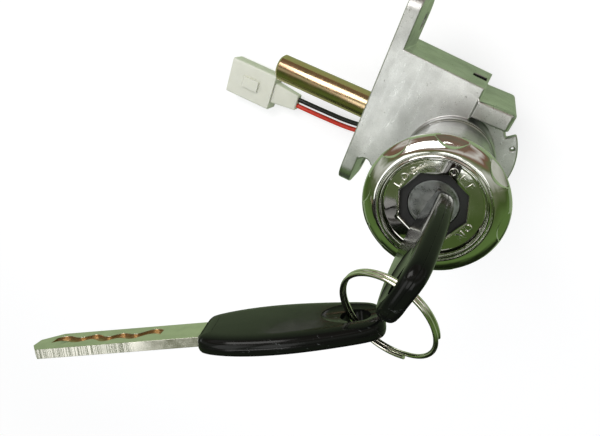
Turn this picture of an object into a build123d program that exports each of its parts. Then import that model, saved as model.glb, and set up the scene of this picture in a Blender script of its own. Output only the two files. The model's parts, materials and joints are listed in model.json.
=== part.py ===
from build123d import *
from math import cos, pi, radians, sin, sqrt, tan
import os

os.makedirs("parts", exist_ok=True)

# Frame: the origin is the lock bolt's axis at the mounting face, -X is the way the bolt goes out,
# +Y runs along the mounting flange and +Z is the way the key comes out.

# Lock cylinder axis and its heights
AXIS_X = 34.4
BODY_FRONT_Z = 26.0
BODY_BACK_Z = -14.0
BARREL_TOP_Z = 66.5
BEZEL_WIDEST_Z = 70.0
KEY_TURN = -6.0

# Running clearances
RUN_GAP = 0.06
SEAT_GAP = 0.1
SOFT_GAP = 0.3

# Widest radius, which the barrel, the rim and the scallops follow
BEZEL_R = 19.0

# Die-cast body
FLANGE_T = 5.0
FLANGE_TOP_Y = 46.0
FLANGE_BOTTOM_Y = -25.0
FLANGE_END_R = 7.0
HOUSING_RIGHT_X = 35.2
HOUSING_TOP_Y = 27.0
HOUSING_BOTTOM_Y = -17.0
HOUSING_DRAFT = 2.0
CASE_R = 18.7
CASE_TOP_Z = 12.0
BLOCK_LEFT_X = 33.0
BLOCK_RIGHT_X = 46.0
BLOCK_TOP_Y = 23.4
BLOCK_BOTTOM_Y = 15.7
BLOCK_RISE = 0.7
BLOCK_BEVEL = 1.7
BODY_CORNER_R = 2.0
NOTCH_W = 5.6
NOTCH_TOP_Y = -12.0
LUG_HOLE_R = 3.3
LUG_HOLE_TOP_Y = 36.5
LUG_HOLE_BOTTOM_Y = -18.5
LUG_HOLE_Z = 8.0
LUG_DEPTH = 24.0
BARREL_R = BEZEL_R - 4.6
BARREL_FOOT_R = BARREL_R + 0.9
BARREL_FOOT_H = 3.0
BARREL_FILLET = 1.6
WALL_POCKET_X = 31.0
WALL_POCKET_Z = 6.0
WALL_POCKET_W = 5.0
WALL_POCKET_H = 8.0
WALL_POCKET_DEPTH = 2.0
COLLAR_R = 22.3
COLLAR_T = 3.5
COLLAR_START_DEG = -35.0
COLLAR_END_DEG = 40.0
COLLAR_HOLE_R = 0.6
COLLAR_HOLE_DEG = 27.5

# Mechanism chamber at the back of the body
CHAMBER_LEFT_X = 9.0
CHAMBER_RIGHT_X = 46.5
CHAMBER_TOP_Y = 13.3
CHAMBER_END_X = 50.8
CHAMBER_END_HALF = 5.6
CHAMBER_BOTTOM_Y = -9.4
CHAMBER_ROOF_Z = 10.0
PARTITION_TOP_Z = 22.0

# Plug
PLUG_R = 6.6
PLUG_TOP_Z = 69.1
PLUG_RIM_W = 0.5
PLUG_FACE_DEPTH = 0.3
TAIL_R = 4.0
STEM_R = 3.5
STEM_FLAT = 0.8
STEM_END_Z = -21.0
RELIEF_R = 7.3
RELIEF_END = 1.5

# Wafers
WAFER_COUNT = 6
WAFER_FROM_TIP = 5.0
WAFER_PITCH = 4.0
WAFER_T = 1.1
WAFER_W = 5.6
WAFER_WINDOW_PLAY = 0.85
WAFER_CORNER_R = 0.5

# Plug clip
CLIP_T = 0.8
CLIP_Z = 8.9
CLIP_OUT_R = 5.6
CLIP_GROOVE_R = 3.6
CLIP_GAP_W = 3.4

# Bezel
BEZEL_BOTTOM_Z = 58.0
BEZEL_BOTTOM_R = BEZEL_R - 2.4
BEZEL_CREST_R = BEZEL_R - 2.4
BEZEL_CREST_Z = 73.2
RIM_R = BEZEL_R - 4.5
RIM_HALF_W = 0.95
RIM_TOP_Z = 73.3
RIM_GROOVE_Z = 72.3
BEZEL_FLOOR_Z = 71.0
BEZEL_FLOOR_R = BEZEL_R - 5.8
BEZEL_FLOOR_T = 1.6
OCTAGON_FLATS = 2 * (PLUG_R + 2.0)
SCALLOP_COUNT = 8
SCALLOP_R = 5.2
SCALLOP_REACH = BEZEL_R - 2.1
SCALLOP_Z = 76.0
SCALLOP_TILT = 38.0
SCALLOP_START = 11.0

# Key
BLADE_T = 2.3
BLADE_W = 8.4
BLADE_L = 41.0
BLADE_TIP_L = 4.5
BLADE_TIP_W = 3.0
TRACK_W = 2.6
TRACK_DEPTH = 0.7
TRACK_WAVE = 1.0
TRACK_END = 4.0
TRACK_L = 27.0
TRACK_CUTS = (0.4, 1.0, -0.3, 0.8, -1.0, 0.2, -0.8, 0.9, 0.3)
BLADE_TANG = 9.0
TANG_W = 6.0
KEY_STANDOFF = 6.9
HEAD_T = 4.5
HEAD_L = 42.0
HEAD_ROOT_HALF = 6.0
HEAD_WIDE_HALF = 10.2
HEAD_END_HALF = 6.0
HEAD_SHOULDER = 0.24
HEAD_WAIST = 0.57
HEAD_ROOT_R = 4.5
HEAD_SHOULDER_R = 14.0
HEAD_WAIST_R = 30.0
HEAD_END_R = 5.0
HEAD_EDGE = 0.9
HOLE_R = 3.5
HOLE_FROM_END = 6.5
DISH_DEPTH = 0.7
DISH_L = 13.0
DISH_W = 10.6

# Split ring
RING_R = 11.05
RING_WIRE_R = 0.5
RING_HANG = 1.6
RING_COIL_PITCH = 0.93
RING_SPLIT_W = 0.7
RING_SPLIT_ANGLE = 70.0
RING_SPLIT_SPAN = 22.0
RING_AWAY = (0.036, -0.931, -0.362)
RING_NORMAL = (-0.213, -0.363, 0.907)
RING_KEY_B_ANGLE = 152.0
KEY_B_THICK_DIR = (0.5086, -0.8419, 0.1803)
KEY_B_LENGTH_DIR = (0.8373, 0.4348, -0.3315)

# Lock bolt and its slider
BOLT_R = 5.5
BOLT_GUIDE_R = 5.9
BOLT_OUT = 45.0
BOLT_INNER_X = 20.0
BOLT_CHAMFER = 1.1
BOLT_FLAT_Z = 2.0
BOLT_FLAT_X = 11.0
BOLT_TRAVEL = 8.0
PLUG_TRAVEL_DEG = 100.0
SLIDER_T = 3.0
SLIDER_HALF_W = 5.0
SLIDER_RIGHT_X = 42.2
SLIDER_WINDOW_HALF = 3.85
SLIDER_TAB_T = 2.0
SLIDER_TAB_Y = 10.0
SLIDER_TAB_Z = -1.2
RIVET_R = 1.5
RIVET_X = 15.5
RIVET_HEAD_R = 2.4
RIVET_HEAD_T = 0.8
FOLLOWER_R = 1.3
FOLLOWER_START = 5.7
FOLLOWER_TOP_Z = 8.4

# Cam on the plug's stem
CAM_LOW_Z = 5.3
CAM_T = 3.0
CAM_HUB_R = 4.2
CAM_POINTS = 13
CAM_OVERRUN_DEG = 8.0
CAM_GAP = 0.05

# Bolt spring
SPRING_R = 1.75
SPRING_WIRE_R = 0.3
SPRING_Y = 7.7
SPRING_Z = 1.2
SPRING_TURNS = 9

# Ignition switch at the back
BASE_T = 2.5
BASE_MARGIN = 4.4
CUP_R = 13.6
CUP_WALL = 1.6
CUP_DEPTH = 11.5
ROTOR_R = 11.4
ROTOR_T = 4.0
ROTOR_GAP = 0.4
CONTACT_T = 1.0
CONTACT_L = 18.0
CONTACT_W = 5.0
CONTACT_PLATE_T = 3.0
SCREW_R = 1.4
SCREW_HEAD_R = 2.6
SCREW_HEAD_T = 1.8
SCREW_L = 7.0
SCREW_INSET = 3.2
SCREW_SPOT_2 = (42.0, 17.6)
SCREW_SPOT_3 = (44.2, -13.2)
BASE_ROUND_R = 18.2
BASE_LUG_R = 3.6
SCREW_SLOT_W = 0.8

# Wire outlet, wires and connector
OUTLET_Y = -13.5
OUTLET_HALF_W = 4.6
OUTLET_LEFT_X = 15.5
OUTLET_RIGHT_X = 28.0
OUTLET_HALF_H = 3.4
GROMMET_L = 3.0
GROMMET_SINK = 1.0
WIRE_R = 1.1
WIRE_SPREAD = 3.0
WIRE_Z = -21.0
WIRE_ROUTE = ((4.5, -13.5, -21), (-10, -18.5, -26.2), (-28, -18.2, -23.5))
CONNECTOR_Y = -18.2
CONNECTOR_Z = -23.5
CONNECTOR_RIGHT_X = -53.0
CONNECTOR_L = 24.0
CONNECTOR_H = 17.0
CONNECTOR_T = 9.0
CONNECTOR_WALL = 1.3
CONNECTOR_FLOOR = 6.0
SLEEVE_L = 13.0
SLEEVE_H = 10.0
SLEEVE_T = 6.4
LATCH_L = 9.0
LATCH_W = 5.0
LATCH_H = 1.4
TERMINAL_L = 6.0
TERMINAL_T = 0.8
TERMINAL_W = 2.8

AXIS = (AXIS_X, 0, 0)


# Unit vectors and the planes that turn with the key
def unit(v):
    return Vector(*v).normalized()


KEY_X = unit((cos(radians(KEY_TURN)), sin(radians(KEY_TURN)), 0))


def level(z):
    return Plane(origin=(AXIS_X, 0, z), x_dir=(1, 0, 0), z_dir=(0, 0, 1))


def key_level(z):
    return Plane(origin=(AXIS_X, 0, z), x_dir=KEY_X, z_dir=(0, 0, 1))


# Heights that the key gives
key_seat_z = PLUG_TOP_Z + KEY_STANDOFF
blade_tip_z = key_seat_z - BLADE_L
wafer_first_z = blade_tip_z + WAFER_FROM_TIP

# Places that body and switch base share
base_top_z = BODY_BACK_Z
cup_bottom_z = base_top_z - BASE_T - CUP_DEPTH
base_left_x = CHAMBER_LEFT_X - BASE_MARGIN
base_top_y = CHAMBER_TOP_Y + BASE_MARGIN
base_bottom_y = CHAMBER_BOTTOM_Y - BASE_MARGIN
outlet_z = WIRE_Z
screw_spots = [(base_left_x + SCREW_INSET, base_top_y), SCREW_SPOT_2, SCREW_SPOT_3]

# Die-cast body: flange with two lugs, housing, side block and barrel in one casting
flange_mid_y = (FLANGE_TOP_Y + FLANGE_BOTTOM_Y) / 2
housing_mid_y = (HOUSING_TOP_Y + HOUSING_BOTTOM_Y) / 2
body_depth = BODY_FRONT_Z - BODY_BACK_Z
housing_lean = body_depth * tan(radians(HOUSING_DRAFT))
with BuildPart() as lock_body:
    # Housing behind the flange, drafted towards the front
    with BuildSketch(Plane.XY.offset(BODY_BACK_Z)):
        with BuildLine():
            Polyline(
                (0, HOUSING_BOTTOM_Y + 3), (HOUSING_RIGHT_X, HOUSING_BOTTOM_Y),
                (HOUSING_RIGHT_X, HOUSING_TOP_Y - 1 + housing_lean),
                (0, HOUSING_TOP_Y + 1 + housing_lean), close=True,
            )
        make_face()
    extrude(amount=body_depth, taper=HOUSING_DRAFT)
    # Round case of the mechanism and the block beside the housing
    with BuildSketch(level(BODY_BACK_Z)):
        Circle(CASE_R)
    extrude(amount=CASE_TOP_Z - BODY_BACK_Z)
    with BuildSketch(Plane.XY.offset(BODY_BACK_Z)):
        with Locations(((BLOCK_LEFT_X + BLOCK_RIGHT_X + housing_lean) / 2, (BLOCK_TOP_Y + BLOCK_BOTTOM_Y) / 2)):
            Rectangle(BLOCK_RIGHT_X + housing_lean - BLOCK_LEFT_X, BLOCK_TOP_Y - BLOCK_BOTTOM_Y)
        fillet(vertices().group_by(Axis.X)[-1].group_by(Axis.Y)[-1], BODY_CORNER_R)
    extrude(amount=body_depth + BLOCK_RISE, taper=HOUSING_DRAFT / 2)
    block_edge = lock_body.edges().group_by(Axis.Z)[-1].group_by(Axis.Y)[-1]
    chamfer(block_edge, BLOCK_BEVEL, BLOCK_BEVEL / 2)
    # Collar on the case's right side
    with BuildSketch(level(CASE_TOP_Z)):
        with BuildLine():
            CenterArc((0, 0), COLLAR_R, COLLAR_START_DEG, COLLAR_END_DEG - COLLAR_START_DEG)
            Polyline(
                (COLLAR_R * cos(radians(COLLAR_END_DEG)), COLLAR_R * sin(radians(COLLAR_END_DEG))), (0, 0),
                (COLLAR_R * cos(radians(COLLAR_START_DEG)), COLLAR_R * sin(radians(COLLAR_START_DEG))),
            )
        make_face()
    extrude(amount=-COLLAR_T)
    with Locations(level(CASE_TOP_Z).location * Location((
            (CASE_R + COLLAR_R) / 2 * cos(radians(COLLAR_HOLE_DEG)),
            (CASE_R + COLLAR_R) / 2 * sin(radians(COLLAR_HOLE_DEG)), 0))):
        Hole(COLLAR_HOLE_R, COLLAR_T)
    # Flange and its two lugs
    with BuildSketch(Plane.YZ):
        with Locations((flange_mid_y, BODY_FRONT_Z - LUG_DEPTH / 2)):
            RectangleRounded(FLANGE_TOP_Y - FLANGE_BOTTOM_Y, LUG_DEPTH, FLANGE_END_R)
        with Locations((housing_mid_y, (BODY_FRONT_Z + BODY_BACK_Z) / 2)):
            Rectangle(HOUSING_TOP_Y - HOUSING_BOTTOM_Y, body_depth)
    extrude(amount=FLANGE_T)
    # Room for the screw head behind the lower lug
    with BuildSketch(Plane.XY.offset(BODY_BACK_Z)):
        with Locations((FLANGE_T + NOTCH_W / 2, NOTCH_TOP_Y - NOTCH_W / 2 - 10)):
            Rectangle(NOTCH_W, 20)
        with Locations((FLANGE_T + NOTCH_W / 2, NOTCH_TOP_Y - NOTCH_W / 2)):
            Circle(NOTCH_W / 2)
    extrude(amount=body_depth, mode=Mode.SUBTRACT)
    # Barrel with its foot
    with BuildSketch(level(CHAMBER_ROOF_Z)):
        Circle(BARREL_R)
    extrude(amount=BARREL_TOP_Z - CHAMBER_ROOF_Z)
    with BuildSketch(level(BODY_FRONT_Z)):
        Circle(BARREL_FOOT_R)
    extrude(amount=BARREL_FOOT_H)
    foot = (lock_body.edges().filter_by(GeomType.CIRCLE)
            .filter_by(lambda e: abs(e.radius - BARREL_FOOT_R) < 0.01 and e.center().Z > BODY_FRONT_Z + 1))
    chamfer(foot, BARREL_FOOT_R - BARREL_R - 0.1)
    # Small pocket in the upper wall
    with BuildSketch(Plane.XZ.offset(-HOUSING_TOP_Y - housing_lean)):
        with Locations((WALL_POCKET_X, WALL_POCKET_Z)):
            RectangleRounded(WALL_POCKET_W, WALL_POCKET_H, 0.8)
    extrude(amount=WALL_POCKET_DEPTH + housing_lean, mode=Mode.SUBTRACT)
    # Lug holes
    with Locations(Plane.YZ.location * Location((LUG_HOLE_TOP_Y, LUG_HOLE_Z, 0)),
                   Plane.YZ.location * Location((LUG_HOLE_BOTTOM_Y, LUG_HOLE_Z, 0))):
        Cylinder(LUG_HOLE_R, FLANGE_T, align=(Align.CENTER, Align.CENTER, Align.MIN), mode=Mode.SUBTRACT)
    # Mechanism chamber, open at the back
    with BuildSketch(Plane.XY.offset(BODY_BACK_Z)):
        with Locations(((CHAMBER_LEFT_X + CHAMBER_RIGHT_X) / 2, (CHAMBER_TOP_Y + CHAMBER_BOTTOM_Y) / 2)):
            RectangleRounded(CHAMBER_RIGHT_X - CHAMBER_LEFT_X, CHAMBER_TOP_Y - CHAMBER_BOTTOM_Y, 1.2)
        with Locations(((CHAMBER_LEFT_X + CHAMBER_END_X) / 2, 0)):
            RectangleRounded(CHAMBER_END_X - CHAMBER_LEFT_X, CHAMBER_END_HALF * 2, 1.2)
    extrude(amount=CHAMBER_ROOF_Z - BODY_BACK_Z, mode=Mode.SUBTRACT)
    # Bolt guide through the flange
    with BuildSketch(Plane.YZ):
        Circle(BOLT_GUIDE_R + RUN_GAP)
    extrude(amount=CHAMBER_LEFT_X, mode=Mode.SUBTRACT)
    # Plug bore, its relief where the wafers run, and the tail bore
    with BuildSketch(level(PARTITION_TOP_Z)):
        Circle(PLUG_R + RUN_GAP)
    extrude(amount=BARREL_TOP_Z - PARTITION_TOP_Z, mode=Mode.SUBTRACT)
    with BuildSketch(level(wafer_first_z - RELIEF_END)):
        Circle(RELIEF_R)
    extrude(amount=(WAFER_COUNT - 1) * WAFER_PITCH + WAFER_T + 2 * RELIEF_END - 1, mode=Mode.SUBTRACT)
    with BuildSketch(level(CHAMBER_ROOF_Z)):
        Circle(TAIL_R + RUN_GAP)
    extrude(amount=PARTITION_TOP_Z - CHAMBER_ROOF_Z, mode=Mode.SUBTRACT)
    # Blind holes for the screws of the switch base
    with BuildSketch(Plane.XY.offset(BODY_BACK_Z)):
        with Locations(*screw_spots):
            Circle(SCREW_R)
    extrude(amount=SCREW_L - BASE_T + SEAT_GAP * 5, mode=Mode.SUBTRACT)
lock_body.part.label = "lock_body"
export_step(lock_body.part, "parts/lock_body.step")

# Octagonal bezel with a domed ring, eight scallops and a raised rim
with BuildPart() as bezel:
    with BuildSketch(Plane(origin=AXIS, x_dir=(1, 0, 0), z_dir=(0, -1, 0))):
        with BuildLine():
            Polyline(
                (BARREL_R + SEAT_GAP, BEZEL_FLOOR_Z - BEZEL_FLOOR_T), (BARREL_R + SEAT_GAP, BEZEL_BOTTOM_Z),
                (BEZEL_BOTTOM_R, BEZEL_BOTTOM_Z),
            )
            Spline((BEZEL_BOTTOM_R, BEZEL_BOTTOM_Z), (BEZEL_R - 1.0, BEZEL_WIDEST_Z - 8),
                   (BEZEL_R, BEZEL_WIDEST_Z - 1), tangents=((0.5, 1), (0, 1)))
            Spline((BEZEL_R, BEZEL_WIDEST_Z - 1), (BEZEL_R - 0.7, BEZEL_WIDEST_Z + 1.7),
                   (BEZEL_CREST_R, BEZEL_CREST_Z - 0.2), tangents=((0, 1), (-1, 0.1)))
            Polyline(
                (BEZEL_CREST_R, BEZEL_CREST_Z - 0.2), (RIM_R + RIM_HALF_W + 0.3, RIM_GROOVE_Z),
                (RIM_R + RIM_HALF_W, RIM_GROOVE_Z),
            )
            ThreePointArc((RIM_R + RIM_HALF_W, RIM_GROOVE_Z), (RIM_R, RIM_TOP_Z),
                          (RIM_R - RIM_HALF_W, RIM_GROOVE_Z))
            Polyline(
                (RIM_R - RIM_HALF_W, RIM_GROOVE_Z), (BEZEL_FLOOR_R, BEZEL_FLOOR_Z), (0, BEZEL_FLOOR_Z),
                (0, BEZEL_FLOOR_Z - BEZEL_FLOOR_T), (BARREL_R + SEAT_GAP, BEZEL_FLOOR_Z - BEZEL_FLOOR_T),
            )
        make_face()
    revolve(axis=Axis(AXIS, (0, 0, 1)))
    with BuildSketch(level(BEZEL_FLOOR_Z - BEZEL_FLOOR_T)):
        RegularPolygon(OCTAGON_FLATS / 2, 8, major_radius=False, rotation=180 / 8)
    extrude(amount=BEZEL_FLOOR_T, mode=Mode.SUBTRACT)
    with Locations(*[
        Location((AXIS_X, 0, SCALLOP_Z)) * Location((0, 0, 0), (0, 0, SCALLOP_START + i * 360 / SCALLOP_COUNT))
        * Location((SCALLOP_REACH + SCALLOP_R, 0, 0), (0, 0, 0)) for i in range(SCALLOP_COUNT)
    ]):
        Cylinder(SCALLOP_R, 14, rotation=(0, SCALLOP_TILT, 0), mode=Mode.SUBTRACT)
bezel.part.label = "bezel"
export_step(bezel.part, "parts/bezel.step")

# Black face ring between bezel and plug, standing on the barrel's end
with BuildPart() as face_ring:
    with BuildSketch(level(BARREL_TOP_Z)):
        Circle(BARREL_R)
        Circle(PLUG_R + SEAT_GAP * 2, mode=Mode.SUBTRACT)
    extrude(amount=BEZEL_FLOOR_Z - BEZEL_FLOOR_T - BARREL_TOP_Z)
face_ring.part.label = "face_ring"
export_step(face_ring.part, "parts/face_ring.step")

# Plug with keyway, wafer slots, tail and flatted stem
keyway_w = BLADE_T + SOFT_GAP
keyway_h = BLADE_W + SOFT_GAP
with BuildPart() as plug:
    with BuildSketch(key_level(PARTITION_TOP_Z + SEAT_GAP)):
        Circle(PLUG_R)
    extrude(amount=PLUG_TOP_Z - PARTITION_TOP_Z - SEAT_GAP)
    with BuildSketch(key_level(PLUG_TOP_Z)):
        Circle(PLUG_R - PLUG_RIM_W)
    extrude(amount=-PLUG_FACE_DEPTH, mode=Mode.SUBTRACT)
    with BuildSketch(key_level(PARTITION_TOP_Z + SEAT_GAP)):
        Circle(TAIL_R)
    extrude(amount=-(PARTITION_TOP_Z + SEAT_GAP - CLIP_Z))
    with BuildSketch(key_level(CLIP_Z)):
        Circle(STEM_R)
        with Locations((STEM_R, 0)):
            Rectangle(STEM_FLAT * 2, STEM_R * 2, mode=Mode.SUBTRACT)
    extrude(amount=-(CLIP_Z - STEM_END_Z))
    with BuildSketch(key_level(CLIP_Z)):
        Circle(TAIL_R + 1)
        Circle(CLIP_GROOVE_R, mode=Mode.SUBTRACT)
    extrude(amount=CLIP_T, mode=Mode.SUBTRACT)
    with BuildSketch(key_level(PLUG_TOP_Z)):
        Rectangle(keyway_w, keyway_h)
    extrude(amount=-(PLUG_TOP_Z - blade_tip_z + SEAT_GAP), mode=Mode.SUBTRACT)
    for i in range(WAFER_COUNT):
        with BuildSketch(key_level(wafer_first_z + i * WAFER_PITCH - SEAT_GAP)):
            Rectangle(WAFER_W + 2 * SEAT_GAP, PLUG_R * 2)
        extrude(amount=WAFER_T + 2 * SEAT_GAP, mode=Mode.SUBTRACT)
plug.part.label = "plug"
export_step(plug.part, "parts/plug.step")

# Wafers, every second one reversed
for i in range(WAFER_COUNT):
    with BuildPart() as wafer:
        with BuildSketch(key_level(wafer_first_z + i * WAFER_PITCH)):
            Circle(PLUG_R - SEAT_GAP)
            Rectangle(WAFER_W, PLUG_R * 2, mode=Mode.INTERSECT)
            Rectangle(keyway_w, BLADE_W + 2 * WAFER_WINDOW_PLAY, mode=Mode.SUBTRACT)
        extrude(amount=WAFER_T)
    wafer.part.label = f"wafer_{i + 1}"
    export_step(wafer.part, f"parts/wafer_{i + 1}.step")

# Clip that keeps the plug from coming out
with BuildPart() as plug_clip:
    with BuildSketch(key_level(CLIP_Z)):
        Circle(CLIP_OUT_R)
        Circle(CLIP_GROOVE_R + SEAT_GAP, mode=Mode.SUBTRACT)
        with Locations((0, -CLIP_OUT_R)):
            Rectangle(CLIP_GAP_W, CLIP_OUT_R * 2, mode=Mode.SUBTRACT)
    extrude(amount=CLIP_T)
plug_clip.part.label = "plug_clip"
export_step(plug_clip.part, "parts/plug_clip.step")

# Lift cam: its edge is the inner offset of an Archimedean spiral, so turn and bolt travel stay in proportion
rise = BOLT_TRAVEL / radians(PLUG_TRAVEL_DEG)


def cam_edge(deg):
    a = radians(deg)
    r = FOLLOWER_START + rise * a
    inward = (FOLLOWER_R + CAM_GAP) / sqrt(r * r + rise * rise)
    x, y = r * cos(a), r * sin(a)
    nx, ny = r * cos(a) + rise * sin(a), r * sin(a) - rise * cos(a)
    return x - nx * inward, y - ny * inward


cam_span = PLUG_TRAVEL_DEG + 2 * CAM_OVERRUN_DEG
cam_points = [cam_edge(-CAM_OVERRUN_DEG + cam_span * i / (CAM_POINTS - 1)) for i in range(CAM_POINTS)]
with BuildPart() as cam:
    with BuildSketch(level(CAM_LOW_Z)):
        with BuildLine():
            Spline(*cam_points)
            Line(cam_points[-1], (0, 0))
            Line((0, 0), cam_points[0])
        make_face()
        Circle(CAM_HUB_R)
    extrude(amount=CAM_T)
    with BuildSketch(key_level(CAM_LOW_Z)):
        Circle(STEM_R + SEAT_GAP)
        with Locations((STEM_R + SEAT_GAP, 0)):
            Rectangle(STEM_FLAT * 2, STEM_R * 3, mode=Mode.SUBTRACT)
    extrude(amount=CAM_T, mode=Mode.SUBTRACT)
cam.part.label = "cam"
export_step(cam.part, "parts/cam.step")

# Lock bolt, stepped where it leaves its guide, with a flat for the slider
with BuildPart() as lock_bolt:
    with BuildSketch(Plane.YZ):
        Circle(BOLT_R)
    extrude(amount=-BOLT_OUT)
    chamfer(lock_bolt.faces().sort_by(Axis.X)[0].edges(), BOLT_CHAMFER)
    with BuildSketch(Plane.YZ):
        Circle(BOLT_GUIDE_R)
    extrude(amount=BOLT_INNER_X)
    with Locations(((BOLT_FLAT_X + BOLT_INNER_X) / 2 + 1, 0, BOLT_FLAT_Z + BOLT_R)):
        Box(BOLT_INNER_X - BOLT_FLAT_X + 2, BOLT_R * 3, BOLT_R * 2, mode=Mode.SUBTRACT)
    with Locations((RIVET_X, 0, BOLT_FLAT_Z)):
        Hole(RIVET_R)
lock_bolt.part.label = "lock_bolt"
export_step(lock_bolt.part, "parts/lock_bolt.step")

# Slider plate: window round the stem, tab for the spring, hole for the follower pin
follower_x = AXIS_X + FOLLOWER_START
window_left_x = AXIS_X - STEM_R - BOLT_TRAVEL - SOFT_GAP * 2
window_right_x = AXIS_X + STEM_R + SOFT_GAP
with BuildPart() as bolt_slider:
    with BuildSketch(Plane.XY.offset(BOLT_FLAT_Z)):
        slider_left_x = BOLT_FLAT_X + SEAT_GAP
        with Locations(((slider_left_x + SLIDER_RIGHT_X) / 2, 0)):
            RectangleRounded(SLIDER_RIGHT_X - slider_left_x, SLIDER_HALF_W * 2, 1)
        with Locations((BOLT_INNER_X + SEAT_GAP * 2 + SLIDER_TAB_T / 2, SLIDER_TAB_Y / 2)):
            Rectangle(SLIDER_TAB_T, SLIDER_TAB_Y)
        with Locations(((window_left_x + window_right_x) / 2, 0)):
            RectangleRounded(window_right_x - window_left_x, SLIDER_WINDOW_HALF * 2, 1, mode=Mode.SUBTRACT)
        with Locations((RIVET_X, 0)):
            Circle(RIVET_R, mode=Mode.SUBTRACT)
        with Locations((follower_x, 0)):
            Circle(FOLLOWER_R, mode=Mode.SUBTRACT)
    extrude(amount=SLIDER_T)
    with BuildSketch(Plane.XY.offset(SLIDER_TAB_Z)):
        with Locations((BOLT_INNER_X + SEAT_GAP * 2 + SLIDER_TAB_T / 2, (SLIDER_HALF_W + SLIDER_TAB_Y) / 2 + 0.4)):
            Rectangle(SLIDER_TAB_T, SLIDER_TAB_Y - SLIDER_HALF_W - 0.8)
    extrude(amount=BOLT_FLAT_Z - SLIDER_TAB_Z)
bolt_slider.part.label = "bolt_slider"
export_step(bolt_slider.part, "parts/bolt_slider.step")

# Follower pin that runs on the cam
with BuildPart() as follower_pin:
    with BuildSketch(Plane.XY.offset(BOLT_FLAT_Z)):
        with Locations((follower_x, 0)):
            Circle(FOLLOWER_R)
    extrude(amount=FOLLOWER_TOP_Z - BOLT_FLAT_Z)
follower_pin.part.label = "follower_pin"
export_step(follower_pin.part, "parts/follower_pin.step")

# Rivet that holds the slider on the bolt
with BuildPart() as bolt_rivet:
    rivet_low_z = -sqrt(BOLT_GUIDE_R ** 2 - RIVET_R ** 2)
    with BuildSketch(Plane.XY.offset(rivet_low_z)):
        with Locations((RIVET_X, 0)):
            Circle(RIVET_R)
    extrude(amount=BOLT_FLAT_Z + SLIDER_T - rivet_low_z)
    with BuildSketch(Plane.XY.offset(BOLT_FLAT_Z + SLIDER_T)):
        with Locations((RIVET_X, 0)):
            Circle(RIVET_HEAD_R)
    extrude(amount=RIVET_HEAD_T)
bolt_rivet.part.label = "bolt_rivet"
export_step(bolt_rivet.part, "parts/bolt_rivet.step")

# Compression spring that pushes the bolt out
spring_left_x = BOLT_INNER_X + SEAT_GAP * 2 + SLIDER_TAB_T
spring_l = CHAMBER_RIGHT_X - spring_left_x
helix_l = spring_l - 2 * SPRING_WIRE_R - 2 * SEAT_GAP
with BuildPart() as bolt_spring:
    with BuildLine():
        coil = Helix(pitch=helix_l / SPRING_TURNS, height=helix_l, radius=SPRING_R,
                     center=(spring_left_x + SPRING_WIRE_R + SEAT_GAP, SPRING_Y, SPRING_Z), direction=(1, 0, 0))
    with BuildSketch(Plane(origin=coil @ 0, z_dir=coil % 0)):
        Circle(SPRING_WIRE_R)
    sweep(is_frenet=True)
bolt_spring.part.label = "bolt_spring"
export_step(bolt_spring.part, "parts/bolt_spring.step")

# Switch base: cover plate of the chamber with the switch cup and the wire outlet
with BuildPart() as switch_base:
    with BuildSketch(Plane.XY.offset(base_top_z)):
        with Locations(((base_left_x + AXIS_X) / 2, (base_top_y + base_bottom_y) / 2)):
            RectangleRounded(AXIS_X - base_left_x, base_top_y - base_bottom_y, 1.5)
        with Locations((AXIS_X, 0)):
            Circle(BASE_ROUND_R)
        with Locations(*screw_spots):
            Circle(BASE_LUG_R)
    extrude(amount=-BASE_T)
    with BuildSketch(level(base_top_z - BASE_T)):
        Circle(CUP_R)
    extrude(amount=-CUP_DEPTH)
    with BuildSketch(Plane.YZ.offset(OUTLET_LEFT_X)):
        with Locations((OUTLET_Y, outlet_z)):
            RectangleRounded(OUTLET_HALF_W * 2, OUTLET_HALF_H * 2, 1)
    extrude(amount=OUTLET_RIGHT_X - OUTLET_LEFT_X)
    with BuildSketch(level(cup_bottom_z)):
        Circle(CUP_R - CUP_WALL)
    extrude(amount=CUP_DEPTH, mode=Mode.SUBTRACT)
    with BuildSketch(level(base_top_z)):
        Circle(TAIL_R)
    extrude(amount=-BASE_T, mode=Mode.SUBTRACT)
    with BuildSketch(Plane.YZ.offset(OUTLET_LEFT_X)):
        with Locations((OUTLET_Y, outlet_z)):
            RectangleRounded(OUTLET_HALF_W * 2 - CUP_WALL, OUTLET_HALF_H * 2 - CUP_WALL, 0.6)
    extrude(amount=GROMMET_SINK, mode=Mode.SUBTRACT)
    with BuildSketch(Plane.XY.offset(base_top_z)):
        with Locations(*screw_spots):
            Circle(SCREW_R)
    extrude(amount=-BASE_T, mode=Mode.SUBTRACT)
switch_base.part.label = "switch_base"
export_step(switch_base.part, "parts/switch_base.step")

# Contact rotor on the stem
rotor_top_z = base_top_z - BASE_T - ROTOR_GAP
with BuildPart() as contact_rotor:
    with BuildSketch(key_level(rotor_top_z)):
        Circle(ROTOR_R)
        Circle(STEM_R + SEAT_GAP, mode=Mode.SUBTRACT)
        with Locations((STEM_R + SEAT_GAP, 0)):
            Rectangle(STEM_FLAT * 2, STEM_R)
    extrude(amount=-ROTOR_T)
contact_rotor.part.label = "contact_rotor"
export_step(contact_rotor.part, "parts/contact_rotor.step")

# Moving contact bridge under the rotor
bridge_top_z = rotor_top_z - ROTOR_T
with BuildPart() as contact_bridge:
    with BuildSketch(key_level(bridge_top_z)):
        RectangleRounded(CONTACT_L, CONTACT_W, 1.2)
        Circle(STEM_R + SEAT_GAP * 2)
        Circle(STEM_R + SEAT_GAP, mode=Mode.SUBTRACT)
    extrude(amount=-CONTACT_T)
contact_bridge.part.label = "contact_bridge"
export_step(contact_bridge.part, "parts/contact_bridge.step")

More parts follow.
